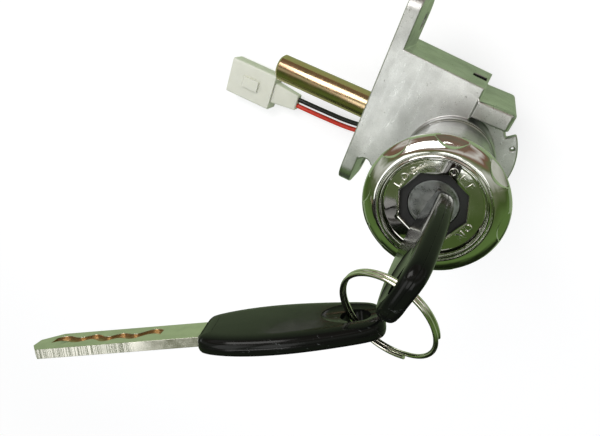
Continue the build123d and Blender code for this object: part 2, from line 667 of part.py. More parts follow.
# Contact plate that closes the cup
with BuildPart() as contact_plate:
    with BuildSketch(level(cup_bottom_z)):
        Circle(CUP_R - CUP_WALL - SEAT_GAP)
    extrude(amount=CONTACT_PLATE_T)
contact_plate.part.label = "contact_plate"
export_step(contact_plate.part, "parts/contact_plate.step")

# Screws of the switch base
for i, (sx, sy) in enumerate(screw_spots):
    with BuildPart() as screw:
        with BuildSketch(Plane.XY.offset(base_top_z - BASE_T)):
            with Locations((sx, sy)):
                Circle(SCREW_HEAD_R)
        extrude(amount=-SCREW_HEAD_T)
        with BuildSketch(Plane.XY.offset(base_top_z - BASE_T - SCREW_HEAD_T)):
            with Locations((sx, sy)):
                Rectangle(SCREW_HEAD_R * 3, SCREW_SLOT_W)
        extrude(amount=SCREW_HEAD_T / 2, mode=Mode.SUBTRACT)
        with BuildSketch(Plane.XY.offset(base_top_z - BASE_T)):
            with Locations((sx, sy)):
                Circle(SCREW_R - SEAT_GAP / 2)
        extrude(amount=SCREW_L)
    screw.part.label = f"base_screw_{i + 1}"
    export_step(screw.part, f"parts/base_screw_{i + 1}.step")

# Grommet in the wire outlet
grommet_left_x = OUTLET_LEFT_X - GROMMET_L + GROMMET_SINK
with BuildPart() as grommet:
    with BuildSketch(Plane.YZ.offset(grommet_left_x)):
        with Locations((OUTLET_Y, outlet_z)):
            RectangleRounded(OUTLET_HALF_W * 2 - CUP_WALL, OUTLET_HALF_H * 2 - CUP_WALL, 0.6)
    extrude(amount=GROMMET_L)
grommet.part.label = "grommet"
export_step(grommet.part, "parts/grommet.step")

# Connector: open housing and the narrower sleeve that the wires enter
connector_left_x = CONNECTOR_RIGHT_X - CONNECTOR_L
sleeve_right_x = CONNECTOR_RIGHT_X + SLEEVE_L
cavity_l = CONNECTOR_L - CONNECTOR_FLOOR
with BuildPart() as connector_housing:
    with BuildSketch(Plane.YZ.offset(connector_left_x)):
        with Locations((CONNECTOR_Y, CONNECTOR_Z)):
            RectangleRounded(CONNECTOR_H, CONNECTOR_T, 1)
    extrude(amount=CONNECTOR_L)
    with BuildSketch(Plane.YZ.offset(connector_left_x)):
        with Locations((CONNECTOR_Y, CONNECTOR_Z)):
            RectangleRounded(CONNECTOR_H - 2 * CONNECTOR_WALL, CONNECTOR_T - 2 * CONNECTOR_WALL, 0.5)
    extrude(amount=cavity_l, mode=Mode.SUBTRACT)
    with BuildSketch(Plane.XY.offset(CONNECTOR_Z + CONNECTOR_T / 2)):
        with Locations((CONNECTOR_RIGHT_X - CONNECTOR_L / 2, CONNECTOR_Y)):
            Rectangle(LATCH_L, LATCH_W)
    extrude(amount=LATCH_H)
    chamfer(connector_housing.edges().filter_by(Axis.Y).group_by(Axis.Z)[-1].sort_by(Axis.X)[0], LATCH_H * 0.9)
connector_housing.part.label = "connector_housing"
export_step(connector_housing.part, "parts/connector_housing.step")

with BuildPart() as connector_sleeve:
    with BuildSketch(Plane.YZ.offset(CONNECTOR_RIGHT_X)) as sleeve_root:
        with Locations((CONNECTOR_Y, CONNECTOR_Z)):
            RectangleRounded(SLEEVE_H, SLEEVE_T, 1)
    with BuildSketch(Plane.YZ.offset(sleeve_right_x)) as sleeve_mouth:
        with Locations((CONNECTOR_Y, CONNECTOR_Z)):
            RectangleRounded(SLEEVE_H * 0.75, SLEEVE_T * 0.75, 1)
    loft()
connector_sleeve.part.label = "connector_sleeve"
export_step(connector_sleeve.part, "parts/connector_sleeve.step")

# Flat terminals on the cavity's floor
terminal_right_x = connector_left_x + cavity_l
for name, side in (("terminal_black", 1), ("terminal_red", -1)):
    with BuildPart() as terminal:
        with BuildSketch(Plane.YZ.offset(terminal_right_x)):
            with Locations((CONNECTOR_Y + side * WIRE_SPREAD, CONNECTOR_Z)):
                Rectangle(TERMINAL_W, TERMINAL_T)
        extrude(amount=-TERMINAL_L)
    terminal.part.label = name
    export_step(terminal.part, f"parts/{name}.step")

# Wires from the grommet to the sleeve, in straight runs joined by large arcs
for name, side in (("wire_black", 1), ("wire_red", -1)):
    route = [Vector(*p) for p in WIRE_ROUTE]
    route = [p + Vector(0, side * WIRE_SPREAD / 2, 0) for p in route]
    route.insert(0, Vector(grommet_left_x, OUTLET_Y + side * WIRE_SPREAD / 2, WIRE_Z))
    route.append(Vector(sleeve_right_x, CONNECTOR_Y + side * WIRE_SPREAD / 2, CONNECTOR_Z))
    radii = []
    for before, here, after in zip(route, route[1:], route[2:]):
        turn = radians((here - before).get_angle(after - here))
        radii.append(0.45 * min((here - before).length, (after - here).length) / tan(turn / 2))
    with BuildPart() as wire:
        with BuildLine() as run:
            FilletPolyline(*route, radius=radii)
        with BuildSketch(Plane(origin=run.line @ 0, z_dir=run.line % 0)):
            Circle(WIRE_R)
        sweep()
    wire.part.label = name
    wire_length = sum(e.length for e in run.edges())
    export_step(wire.part, f"parts/{name}.step")
    print(name, "radii", [round(r) for r in radii], "length", round(wire_length, 1),
          "volume ratio", round(wire.part.volume / (pi * WIRE_R ** 2 * wire_length), 4))


# Planes of a key: flat along its length and width, and across the blade
def key_flat(origin, thick_dir, length_dir):
    return Plane(origin=origin, x_dir=length_dir, z_dir=-thick_dir)


def key_head(flat):
    hole_x = HEAD_L - HOLE_FROM_END
    upper = [(0, HEAD_ROOT_HALF), (HEAD_SHOULDER * HEAD_L, HEAD_WIDE_HALF),
             (HEAD_WAIST * HEAD_L, HEAD_WIDE_HALF), (HEAD_L, HEAD_END_HALF)]
    lower = [(x, -y) for x, y in reversed(upper)]
    rounds = [HEAD_ROOT_R, HEAD_SHOULDER_R, HEAD_WAIST_R, HEAD_END_R]
    with BuildPart() as head:
        with BuildSketch(flat):
            with BuildLine():
                Polyline(*upper, *lower, close=True)
            make_face()
            for (x, _), radius in zip(upper, rounds):
                fillet(vertices().filter_by(lambda v, x=x: abs(v.X - x) < 0.01), radius)
        extrude(amount=HEAD_T / 2, both=True)
        faces = head.faces().sort_by(Axis(flat.origin, flat.z_dir))
        chamfer(faces[0].edges() + faces[-1].edges(), HEAD_EDGE)
        for side in (1, -1):
            with BuildSketch(flat.offset(side * HEAD_T / 2)):
                with Locations((hole_x - (DISH_L - DISH_W) / 2, 0)):
                    SlotOverall(DISH_L, DISH_W)
            extrude(amount=-side * DISH_DEPTH, mode=Mode.SUBTRACT)
        with BuildSketch(flat):
            with Locations((hole_x, 0)):
                Circle(HOLE_R)
        extrude(amount=HEAD_T, both=True, mode=Mode.SUBTRACT)
        with BuildSketch(flat):
            Rectangle(BLADE_TANG * 2, TANG_W)
        extrude(amount=BLADE_T / 2, both=True, mode=Mode.SUBTRACT)
    return head


def key_blade(flat):
    half_w = BLADE_W / 2
    start = -BLADE_L + TRACK_END
    step = TRACK_L / (len(TRACK_CUTS) - 1)
    upper = [(start + i * step, TRACK_W / 2 + c * TRACK_WAVE) for i, c in enumerate(TRACK_CUTS)]
    lower = [(x, y - TRACK_W) for x, y in upper]
    with BuildPart() as blade:
        with BuildSketch(flat):
            with BuildLine():
                Polyline((0, half_w), (-BLADE_L + BLADE_TIP_L, half_w), (-BLADE_L, BLADE_TIP_W / 2),
                         (-BLADE_L, -BLADE_TIP_W / 2), (-BLADE_L + BLADE_TIP_L / 2, -half_w), (0, -half_w),
                         (0, -TANG_W / 2), (BLADE_TANG, -TANG_W / 2), (BLADE_TANG, TANG_W / 2), (0, TANG_W / 2),
                         close=True)
            make_face()
        extrude(amount=BLADE_T / 2, both=True)
        for side in (1, -1):
            with BuildSketch(flat.offset(side * BLADE_T / 2)):
                with BuildLine():
                    Spline(*upper)
                    Spline(*lower)
                    Line(upper[0], lower[0])
                    Line(upper[-1], lower[-1])
                make_face()
            extrude(amount=-side * TRACK_DEPTH, mode=Mode.SUBTRACT)
    return blade


# Key A in the plug
key_a_flat = key_flat(Vector(AXIS_X, 0, key_seat_z), KEY_X, Vector(0, 0, 1))
key_a_head = key_head(key_a_flat)
key_a_head.part.label = "key_a_head"
export_step(key_a_head.part, "parts/key_a_head.step")
key_a_blade = key_blade(key_a_flat)
key_a_blade.part.label = "key_a_blade"
export_step(key_a_blade.part, "parts/key_a_blade.step")

# Split ring through both keys' holes: two coils side by side with their ends stepped
hole_reach = HEAD_L - HOLE_FROM_END
hole_a = Vector(AXIS_X, 0, key_seat_z + hole_reach)
ring_centre = hole_a + unit(RING_AWAY) * (RING_R + RING_HANG)
ring_plane = Plane(origin=ring_centre, x_dir=-unit(RING_AWAY), z_dir=unit(RING_NORMAL))
with BuildPart() as split_ring:
    with BuildSketch(Plane(origin=ring_centre, x_dir=ring_plane.x_dir, z_dir=-ring_plane.y_dir)):
        with Locations((RING_R, RING_COIL_PITCH / 2), (RING_R, -RING_COIL_PITCH / 2)):
            Circle(RING_WIRE_R)
    revolve(axis=Axis(ring_centre, ring_plane.z_dir))
    for side, angle in ((1, RING_SPLIT_ANGLE), (-1, RING_SPLIT_ANGLE + RING_SPLIT_SPAN)):
        with BuildSketch(ring_plane.offset(side * RING_WIRE_R * 3)):
            with Locations((RING_R * cos(radians(angle)), RING_R * sin(radians(angle)))):
                Rectangle(RING_WIRE_R * 4, RING_SPLIT_W, rotation=angle)
        extrude(amount=-side * (RING_WIRE_R * 3 - RING_COIL_PITCH * 0.1), mode=Mode.SUBTRACT)
split_ring.part.label = "split_ring"
export_step(split_ring.part, "parts/split_ring.step")

# Key B hanging on the ring
angle_b = radians(RING_KEY_B_ANGLE)
hole_b = ring_centre + (ring_plane.x_dir * cos(angle_b) + ring_plane.y_dir * sin(angle_b)) * RING_R
key_b_length = unit(KEY_B_LENGTH_DIR)
key_b_thick = (unit(KEY_B_THICK_DIR) - key_b_length * unit(KEY_B_THICK_DIR).dot(key_b_length)).normalized()
key_b_flat = key_flat(hole_b - key_b_length * hole_reach, key_b_thick, key_b_length)
key_b_head = key_head(key_b_flat)
key_b_head.part.label = "key_b_head"
export_step(key_b_head.part, "parts/key_b_head.step")
key_b_blade = key_blade(key_b_flat)
key_b_blade.part.label = "key_b_blade"
export_step(key_b_blade.part, "parts/key_b_blade.step")
print("hole_a", hole_a, "hole_b", hole_b, "ring_centre", ring_centre, "key_b_thick", key_b_thick)
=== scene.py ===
import json
import math

import bmesh
import bpy
from bpy.props import FloatProperty, FloatVectorProperty, PointerProperty
from mathutils import Matrix, Vector

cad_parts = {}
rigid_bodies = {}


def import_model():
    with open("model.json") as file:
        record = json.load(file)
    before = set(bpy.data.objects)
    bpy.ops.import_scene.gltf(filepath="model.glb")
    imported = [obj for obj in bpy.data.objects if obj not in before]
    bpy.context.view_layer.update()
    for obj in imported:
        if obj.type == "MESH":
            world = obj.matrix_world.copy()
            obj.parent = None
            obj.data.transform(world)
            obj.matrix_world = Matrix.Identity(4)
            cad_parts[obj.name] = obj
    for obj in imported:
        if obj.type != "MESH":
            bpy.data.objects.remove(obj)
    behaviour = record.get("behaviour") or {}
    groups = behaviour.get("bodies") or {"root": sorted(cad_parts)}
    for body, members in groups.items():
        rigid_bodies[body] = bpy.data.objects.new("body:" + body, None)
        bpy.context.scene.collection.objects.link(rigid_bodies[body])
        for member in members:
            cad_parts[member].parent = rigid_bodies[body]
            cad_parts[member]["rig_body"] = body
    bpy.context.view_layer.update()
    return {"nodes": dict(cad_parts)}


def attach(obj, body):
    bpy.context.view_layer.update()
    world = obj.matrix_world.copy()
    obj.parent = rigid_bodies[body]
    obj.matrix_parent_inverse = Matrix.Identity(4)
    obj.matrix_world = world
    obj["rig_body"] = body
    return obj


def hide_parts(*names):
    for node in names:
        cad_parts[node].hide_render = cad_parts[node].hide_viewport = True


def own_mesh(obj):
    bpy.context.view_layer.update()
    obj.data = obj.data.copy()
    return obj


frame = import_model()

bl_info = {
    "name": "Ignition lock",
    "version": (1, 0, 0),
    "blender": (4, 5, 0),
    "location": "View3D > Sidebar > Ignition lock",
    "description": "Builds the finishes and fine pieces of an ignition lock cylinder with its keys",
    "category": "Object",
}

MM = 0.001
# The plug's axis, in millimetres.
AXIS = Vector((34.4, 0, 0))
# Corners closer than this are one corner, in a CAD node's triangles and in the shapes built here.
NODE_MERGE = 0.001 * MM
MERGE = 0.0005 * MM
# Faces of a CAD node that differ by less than this angle are joined.
FLAT_ANGLE = math.radians(0.4)
# Most of a noise lies between these values.
NOISE_LOW, NOISE_HIGH = 0.3, 0.7


def mm(*xyz):
    """A point given in millimetres, as a vector in metres."""
    return Vector(xyz) * MM


def colour(name, description, default):
    """A described colour property."""
    return FloatVectorProperty(
        name=name, description=description, subtype="COLOR", size=3, min=0, max=1, default=default
    )


def grey(level):
    """The grey with this value in every channel."""
    return (level, level, level)


def tone(tint, share):
    """The colour, darker or lighter by a factor."""
    return tuple(min(1.0, channel * share) for channel in tint)


def shift(tint, shares):
    """The colour, each channel multiplied by its own factor."""
    return tuple(channel * share for channel, share in zip(tint, shares))


class Value:
    """One value in a node tree. Arithmetic on it adds Math nodes."""

    def __init__(self, nodes, socket):
        self.nodes, self.socket = nodes, socket

    def _math(self, operation, *given):
        return self.nodes.value("ShaderNodeMath", dict(enumerate(given)), operation=operation)

    def __add__(self, other):
        return self._math("ADD", self, other)

    def __sub__(self, other):
        return self._math("SUBTRACT", self, other)

    def __mul__(self, other):
        return self._math("MULTIPLY", self, other)

    def __abs__(self):
        return self._math("ABSOLUTE", self)

    def above(self, edge):
        """1 where the value is greater than edge, 0 elsewhere."""
        return self._math("GREATER_THAN", self, edge)

    def fade(self, low, high, start=0.0, end=1.0):
        """Runs smoothly from start to end while the value goes from low to high."""
        values = {0: self, 1: low, 2: high, 3: start, 4: end}
        return self.nodes.value("ShaderNodeMapRange", values, interpolation_type="SMOOTHSTEP")

    def fade_mm(self, low, high):
        """Runs smoothly from 0 to 1 while the value goes from low to high millimetres."""
        return self.fade(low * MM, high * MM)

    def spread(self, start=0.0, end=1.0):
        """Runs smoothly from start to end over the values that most of a noise has."""
        return self.fade(NOISE_LOW, NOISE_HIGH, start, end)


class Nodes:
    """Builds one node tree."""

    def __init__(self, tree):
        self.tree = tree
        tree.nodes.clear()

    def put(self, socket, given):
        """Links a Value to the socket, or sets it to a number, a vector or a colour."""
        if isinstance(given, Value):
            self.tree.links.new(given.socket, socket)
        elif socket.type == "RGBA":
            socket.default_value = (*given, 1)
        else:
            socket.default_value = given

    def add(self, kind, values=None, **settings):
        """A new node with its settings. Its inputs are given by name or by number."""
        node = self.tree.nodes.new(kind)
        for key, setting in settings.items():
            setattr(node, key, setting)
        for key, given in (values or {}).items():
            self.put(node.inputs[key], given)
        return node

    def value(self, kind, values=None, output=0, **settings):
        """An output of a new node."""
        return Value(self, self.add(kind, values, **settings).outputs[output])

    def spot(self):
        """The shaded point in the object's own coordinates."""
        return self.value("ShaderNodeTexCoord", output="Object")

    def axis(self, vector, index):
        """One coordinate of a vector."""
        return self.value("ShaderNodeSeparateXYZ", {0: vector}, index)

    def measure(self, operation, *vectors):
        """The number that a vector operation gives."""
        return self.value("ShaderNodeVectorMath", dict(enumerate(vectors)), output=1, operation=operation)

    def noise(self, size, detail=3.0, roughness=0.5, stretch=(1, 1, 1)):
        """Noise whose spots are about size metres across, from 0 to 1."""
        place = self.value("ShaderNodeMapping", {"Vector": self.spot(), "Scale": stretch})
        values = {"Vector": place, "Scale": 1 / size, "Detail": detail, "Roughness": roughness}
        return self.value("ShaderNodeTexNoise", values)

    def mix(self, share, first, second):
        """The first colour where share is 0, the second where it is 1."""
        return self.value("ShaderNodeMix", {0: share, 6: first, 7: second}, output=2, data_type="RGBA")

    def ramp(self, share, stops):
        """A colour for each share, between stops of a place and a colour."""
        node = self.add("ShaderNodeValToRGB", {0: share})
        points = node.color_ramp.elements
        while len(points) < len(stops):
            points.new(1.0)
        for point, (where, tint) in zip(points, stops):
            point.position = where
            point.color = (*tint, 1)
        return Value(self, node.outputs[0])

    def bump(self, height, depth, strength=1.0):
        """A normal for bumps that are depth metres high where height is 1."""
        return self.value("ShaderNodeBump", {"Strength": strength, "Distance": depth, "Height": height})


class Finish(Nodes):
    """A material with one Principled shader."""

    def __init__(self, name):
        self.material = bpy.data.materials.new(name)
        self.material.use_nodes = True
        super().__init__(self.material.node_tree)
        self.shader = self.add("ShaderNodeBsdfPrincipled")
        self.add("ShaderNodeOutputMaterial", {"Surface": Value(self, self.shader.outputs[0])})

    def give(self, **values):
        """Sets the shader's sockets: base_color sets Base Color, and so on."""
        for key, given in values.items():
            name = key.replace("_", " ").title().replace("Ior", "IOR")
            self.put(self.shader.inputs[name], given)
        return self.material


def add_object(name, data):
    """A new object in the scene."""
    item = bpy.data.objects.new(name, data)
    bpy.context.scene.collection.objects.link(item)
    return item


def shade(mesh, smooth_angle):
    """Smooth faces that break at edges sharper than the angle in degrees."""
    mesh.polygons.foreach_set("use_smooth", [True] * len(mesh.polygons))
    mesh.set_sharp_from_angle(angle=math.radians(smooth_angle))


def new_piece(name, shape, smooth_angle=None):
    """A new object with the bmesh's shape, placed by its mesh alone."""
    mesh = bpy.data.meshes.new(name)
    shape.to_mesh(mesh)
    shape.free()
    if smooth_angle is not None:
        shade(mesh, smooth_angle)
    return add_object(name, mesh)


def applied(item):
    """A new mesh of an object with its text or its modifiers applied."""
    return bpy.data.meshes.new_from_object(item.evaluated_get(bpy.context.evaluated_depsgraph_get()))


def cover(piece, material):
    """Makes the material the piece's only one."""
    piece.data.materials.clear()
    piece.data.materials.append(material)


def dress(node, material):
    """Gives a CAD node its finish."""
    cover(frame["nodes"][node], material)


def node_shape(node):
    """A bmesh with a CAD node's shape, its triangles joined again."""
    shape = bmesh.new()
    shape.from_mesh(frame["nodes"][node].data)
    bmesh.ops.remove_doubles(shape, verts=shape.verts, dist=NODE_MERGE)
    return shape


def stand_in(node, material, edge=0.0, smooth_angle=32, segments=2, clamp=True):
    """Replaces a CAD node by a copy with smooth curved faces and its sharp edges broken by edge metres."""
    shape = node_shape(node)
    bmesh.ops.dissolve_limit(shape, angle_limit=FLAT_ANGLE, verts=shape.verts, edges=shape.edges)
    piece = new_piece(node + "_shown", shape, smooth_angle)
    cover(piece, material)
    if edge:
        breaker = piece.modifiers.new("edge", "BEVEL")
        breaker.width = edge
        breaker.segments = segments
        breaker.limit_method = "ANGLE"
        breaker.angle_limit = math.radians(smooth_angle)
        breaker.use_clamp_overlap = clamp
        breaker.harden_normals = True
    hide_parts(node)
    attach(piece, frame["nodes"][node]["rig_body"])


def plated(name, tint, low, high, size, depth):
    """Bare or plated metal with faint clouds, roughness from low to high and a grain depth metres deep."""
    finish = Finish(name)
    cloud = finish.noise(size, 4, 0.6)
    fine = finish.noise(size / 12, 3, 0.6)
    return finish.give(
        base_color=finish.mix(cloud.spread(), tone(tint, 0.9), tone(tint, 1.08)),
        metallic=1.0,
        roughness=(cloud * 0.6 + fine * 0.4).spread(low, high),
        normal=finish.bump(fine, depth),
    )


def moulded(name, tint, low, high, size, depth):
    """Moulded plastic with faint clouds, roughness from low to high and a grain depth metres deep."""
    finish = Finish(name)
    cloud = finish.noise(size, 3, 0.5)
    fine = finish.noise(size / 10, 3, 0.6)
    return finish.give(
        base_color=finish.mix(cloud, tone(tint, 0.85), tone(tint, 1.2)),
        roughness=(cloud * 0.5 + fine * 0.5).spread(low, high),
        normal=finish.bump(fine, depth),
    )


class LockFinishes(bpy.types.PropertyGroup):
    """Colours of the lock's finishes"""

    cast: colour("Die casting", "Bare die-cast alloy of the body", (0.68, 0.69, 0.69))
    chrome: colour("Chrome", "Plating of the bezel", (0.80, 0.80, 0.77))
    plug: colour("Plug", "Turned zinc of the plug's face", (0.34, 0.35, 0.36))
    key_black: colour("Key black", "Moulded key heads", (0.005, 0.0055, 0.005))
    blade: colour("Blade", "Nickel plating of the blades", (0.78, 0.76, 0.70))
    ring: colour("Ring", "Nickel plating of the split ring", (0.80, 0.78, 0.71))
    yellow_zinc: colour("Yellow zinc", "Plating of the lock bolt", (0.66, 0.52, 0.33))
    steel: colour("Steel", "Bright steel of the mechanism", (0.56, 0.56, 0.55))
    brass: colour("Brass", "Wafers and contacts", (0.76, 0.58, 0.28))
    nylon: colour("Nylon", "Natural nylon of the connector", (0.78, 0.79, 0.68))
    black_plastic: colour("Black plastic", "Switch base and face ring", (0.018, 0.018, 0.019))
    wire_red: colour("Red wire", "Red insulation", (0.70, 0.035, 0.012))
    wire_black: colour("Black wire", "Black insulation", (0.012, 0.014, 0.012))


class LockSizes(bpy.types.PropertyGroup):
    """Sizes of the pieces that the scene adds"""

    wire_radius: FloatProperty(
        name="Wire radius", description="Radius over the insulation", unit="LENGTH", default=1.1 * MM
    )
    wire_spread: FloatProperty(
        name="Wire spread", description="Distance between the two wires", unit="LENGTH", default=3 * MM
    )
    mark_height: FloatProperty(
        name="Mark height", description="Height of the bezel's letters", unit="LENGTH", default=2.0 * MM
    )
    mark_rise: FloatProperty(
        name="Mark rise", description="How far the letters stand out", unit="LENGTH", default=0.3 * MM
    )
    mark_radius: FloatProperty(
        name="Mark radius", description="Radius of the letters' foot line", unit="LENGTH", default=9.7 * MM
    )
    ring_radius: FloatProperty(
        name="Ring radius", description="Radius to the middle of the ring's wire", unit="LENGTH",
        default=11.05 * MM,
    )
    ring_wire_radius: FloatProperty(
        name="Ring wire", description="Radius of the ring's wire", unit="LENGTH", default=0.49 * MM
    )
    ring_pitch: FloatProperty(
        name="Ring pitch", description="Distance between the two coils", unit="LENGTH", default=0.93 * MM
    )


class LockStage(bpy.types.PropertyGroup):
    """The floor, the lamps and the camera"""

    floor_z: FloatProperty(
        name="Floor", description="Height of the floor", unit="LENGTH", default=-28.05 * MM
    )
    lens: FloatProperty(
        name="Lens", description="Focal length in millimetres", default=27.0, min=10, max=200
    )
    key_power: FloatProperty(
        name="Main lamp", description="Power of the main lamp", unit="POWER", default=1.0
    )
    fill_power: FloatProperty(
        name="Top lamp", description="Power of the left top lamp", unit="POWER", default=0.060
    )
    world_strength: FloatProperty(
        name="World", description="Strength of the soft surround", default=0.62
    )


class LockBuilder:
    """What the operators share."""

    bl_options = {"REGISTER", "UNDO"}

    @property
    def finishes(self):
        return bpy.context.scene.lock_finishes

    @property
    def sizes(self):
        return bpy.context.scene.lock_sizes

    @property
    def stage(self):
        return bpy.context.scene.lock_stage


class LOCK_OT_stage(LockBuilder, bpy.types.Operator):
    """Floor, lamps, surround and camera"""

    bl_idname = "lock.stage"
    bl_label = "Stage"

    # The camera's place in millimetres, and the ways to its right and to its back.
    camera_place = (27.5, 44.5, 185.0)
    camera_right = (0.8737, 0.3132, -0.3724)
    camera_back = (0.1867, 0.4910, 0.8509)
    sensor_width = 36
    clip_start = 0.01

    # Each lamp's place and aim in millimetres, its width and height in metres, and its colour.
    lamps = {
        "main_lamp": ((-200, 250, 420), (10, 0, 30), (0.30, 0.24), (1, 0.99, 0.97)),
        "left_top_lamp": ((-58, -64, 330), (-58, -64, 30), (0.095, 0.16), (1, 1, 1)),
        "right_top_lamp": ((62, -18, 330), (62, -18, 30), (0.09, 0.09), (1, 1, 1)),
    }
    right_lamp_share = 0.7

    # What metal and gloss see around them. It changes with how far a way points left, back and up,
    # and patches bend the zones.
    surround_tint = (0.97, 0.98, 1.0)
    leftward, backward, upward = 0.35, 0.8, 0.45
    patch_scale, patch_detail, patch_share = 2.4, 1.5, 0.3
    zone_scale, zone_start = 0.5, 0.35
    zones = (
        (0.0, (0.006, 0.010, 0.003)), (0.10, (0.014, 0.022, 0.007)), (0.20, (0.10, 0.17, 0.045)),
        (0.36, (0.09, 0.15, 0.04)), (0.46, (0.060, 0.095, 0.024)), (0.54, (0.13, 0.15, 0.08)),
        (0.585, (0.38, 0.39, 0.33)), (0.64, (0.55, 0.56, 0.50)), (0.70, (0.13, 0.16, 0.07)),
        (0.76, (0.20, 0.11, 0.075)), (0.80, (0.62, 0.60, 0.56)), (0.85, (0.20, 0.12, 0.085)),
        (0.92, (0.17, 0.14, 0.10)), (1.0, (0.10, 0.11, 0.06)),
    )

    # The floor as light and metal see it, with where its dark zone begins and is full, in metres.
    floor_radius, floor_roughness = 3.0, 0.7
    floor_sage, floor_dark = (0.36, 0.47, 0.26), (0.020, 0.032, 0.010)
    dark_y, dark_x = (-0.07, -0.15), (-0.20, -0.13)
    # The floor as the camera sees it: it takes shadows near the object and is plain white far away.
    near_colour, near_glow = 0.5, 0.62
    far_away = (0.22, 0.75)

    def camera(self):
        """The camera, as the view of the object needs it."""
        data = bpy.data.cameras.new("camera")
        data.sensor_width = self.sensor_width
        data.lens = self.stage.lens
        data.clip_start = self.clip_start
        camera = add_object("camera", data)
        back = Vector(self.camera_back).normalized()
        up = back.cross(Vector(self.camera_right)).normalized()
        turn = Matrix((up.cross(back), up, back)).transposed().to_4x4()
        camera.matrix_world = Matrix.Translation(mm(*self.camera_place)) @ turn
        bpy.context.scene.camera = camera

    def surround(self):
        """A soft, even surround. Only metal and gloss see its dark, green, brown and white zones."""
        world = bpy.data.worlds.new("surround")
        world.use_nodes = True
        bpy.context.scene.world = world
        nodes = Nodes(world.node_tree)
        way = nodes.value("ShaderNodeTexCoord", output="Generated")
        patches = nodes.value(
            "ShaderNodeTexNoise", {"Vector": way, "Scale": self.patch_scale, "Detail": self.patch_detail}
        )
        rise = nodes.axis(way, 1) * self.backward + nodes.axis(way, 2) * self.upward
        rise = rise - nodes.axis(way, 0) * self.leftward
        place = (rise + patches * self.patch_share) * self.zone_scale + self.zone_start
        seen = nodes.ramp(place, self.zones)
        glossy = nodes.value("ShaderNodeLightPath", output="Is Glossy Ray")
        camera = nodes.value("ShaderNodeLightPath", output="Is Camera Ray")
        soft = tone(self.surround_tint, self.stage.world_strength)
        light = nodes.value("ShaderNodeBackground", {"Color": nodes.mix(glossy, soft, seen)})
        white = nodes.value("ShaderNodeBackground", {"Color": grey(1)})
        both = nodes.value("ShaderNodeMixShader", {0: camera, 1: light, 2: white})
        nodes.add("ShaderNodeOutputWorld", {"Surface": both})

    def floor(self):
        """A pale sage floor, which the camera sees as white with the object's shadow on it."""
        shape = bmesh.new()
        bmesh.ops.create_circle(shape, cap_ends=True, radius=self.floor_radius, segments=64)
        bmesh.ops.translate(shape, verts=shape.verts, vec=(0, 0, self.stage.floor_z))
        floor = new_piece("floor", shape)
        finish = Finish("pale_floor")
        camera = finish.value("ShaderNodeLightPath", output="Is Camera Ray")
        spot = finish.spot()
        dark = finish.axis(spot, 1).fade(*self.dark_y) * finish.axis(spot, 0).fade(*self.dark_x)
        tinted = finish.mix(dark, self.floor_sage, self.floor_dark)
        far = finish.measure("LENGTH", spot).fade(*self.far_away)
        shaded = finish.mix(far, grey(self.near_colour), grey(0))
        glow = finish.mix(far, grey(self.near_glow), grey(1))
        material = finish.give(
            base_color=finish.mix(camera, tinted, shaded),
            roughness=self.floor_roughness,
            specular_ior_level=0.0,
            emission_color=finish.mix(camera, grey(0), glow),
            emission_strength=1.0,
        )
        cover(floor, material)

    def lamp(self, name, place, aim, size, tint, power):
        """A rectangular lamp that faces its aim."""
        data = bpy.data.lights.new(name, "AREA")
        data.shape = "RECTANGLE"
        data.size, data.size_y = size
        data.energy = power
        data.color = tint
        lamp = add_object(name, data)
        lamp.location = mm(*place)
        lamp.rotation_euler = (mm(*aim) - mm(*place)).to_track_quat("-Z", "Y").to_euler()

    def execute(self, context):
        context.scene.view_settings.view_transform = "Standard"
        self.camera()
        self.surround()
        self.floor()
        main, top = self.stage.key_power, self.stage.fill_power
        powers = (main, top, top * self.right_lamp_share)
        for (name, given), power in zip(self.lamps.items(), powers):
            self.lamp(name, *given, power)
        return {"FINISHED"}


class LOCK_OT_wires(LockBuilder, bpy.types.Operator):
    """The two insulated wires from the switch to the connector"""

    bl_idname = "lock.wires"
    bl_label = "Wires"

    # Control points of the line between the two wires, in millimetres, from the switch to the connector.
    route = (
        (13.5, -13.5, -21), (4.5, -13.5, -21), (-10, -18.5, -26.2), (-28, -18.2, -23.5),
        (-40, -18.2, -23.5),
    )

    def wire(self, name, side, tint):
        """One wire along the route, on the given side of it."""
        aside = Vector((0, side * self.sizes.wire_spread / 2, 0))
        places = [mm(*spot) + aside for spot in self.route]
        curve = bpy.data.curves.new(name, "CURVE")
        curve.dimensions = "3D"
        curve.bevel_depth = self.sizes.wire_radius
        curve.bevel_resolution = 6
        curve.resolution_u = 24
        curve.use_fill_caps = True
        line = curve.splines.new("NURBS")
        line.points.add(len(places) - 1)
        for point, place in zip(line.points, places):
            point.co = (*place, 1)
        line.order_u = 3
        line.use_endpoint_u = True
        finish = Finish(name + "_insulation")
        patches = finish.noise(2.5 * MM, 3)
        curve.materials.append(
            finish.give(
                base_color=finish.mix(patches, tone(tint, 0.8), tone(tint, 1.25)),
                roughness=patches.fade(0.2, 0.8, 0.28, 0.42),
                normal=finish.bump(finish.noise(0.35 * MM, 2), 0.01 * MM),
            )
        )
        wire = add_object(name + "_run", curve)
        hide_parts(name)
        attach(wire, "housing")

    def execute(self, context):
        self.wire("wire_black", 1, self.finishes.wire_black)
        self.wire("wire_red", -1, self.finishes.wire_red)
        return {"FINISHED"}


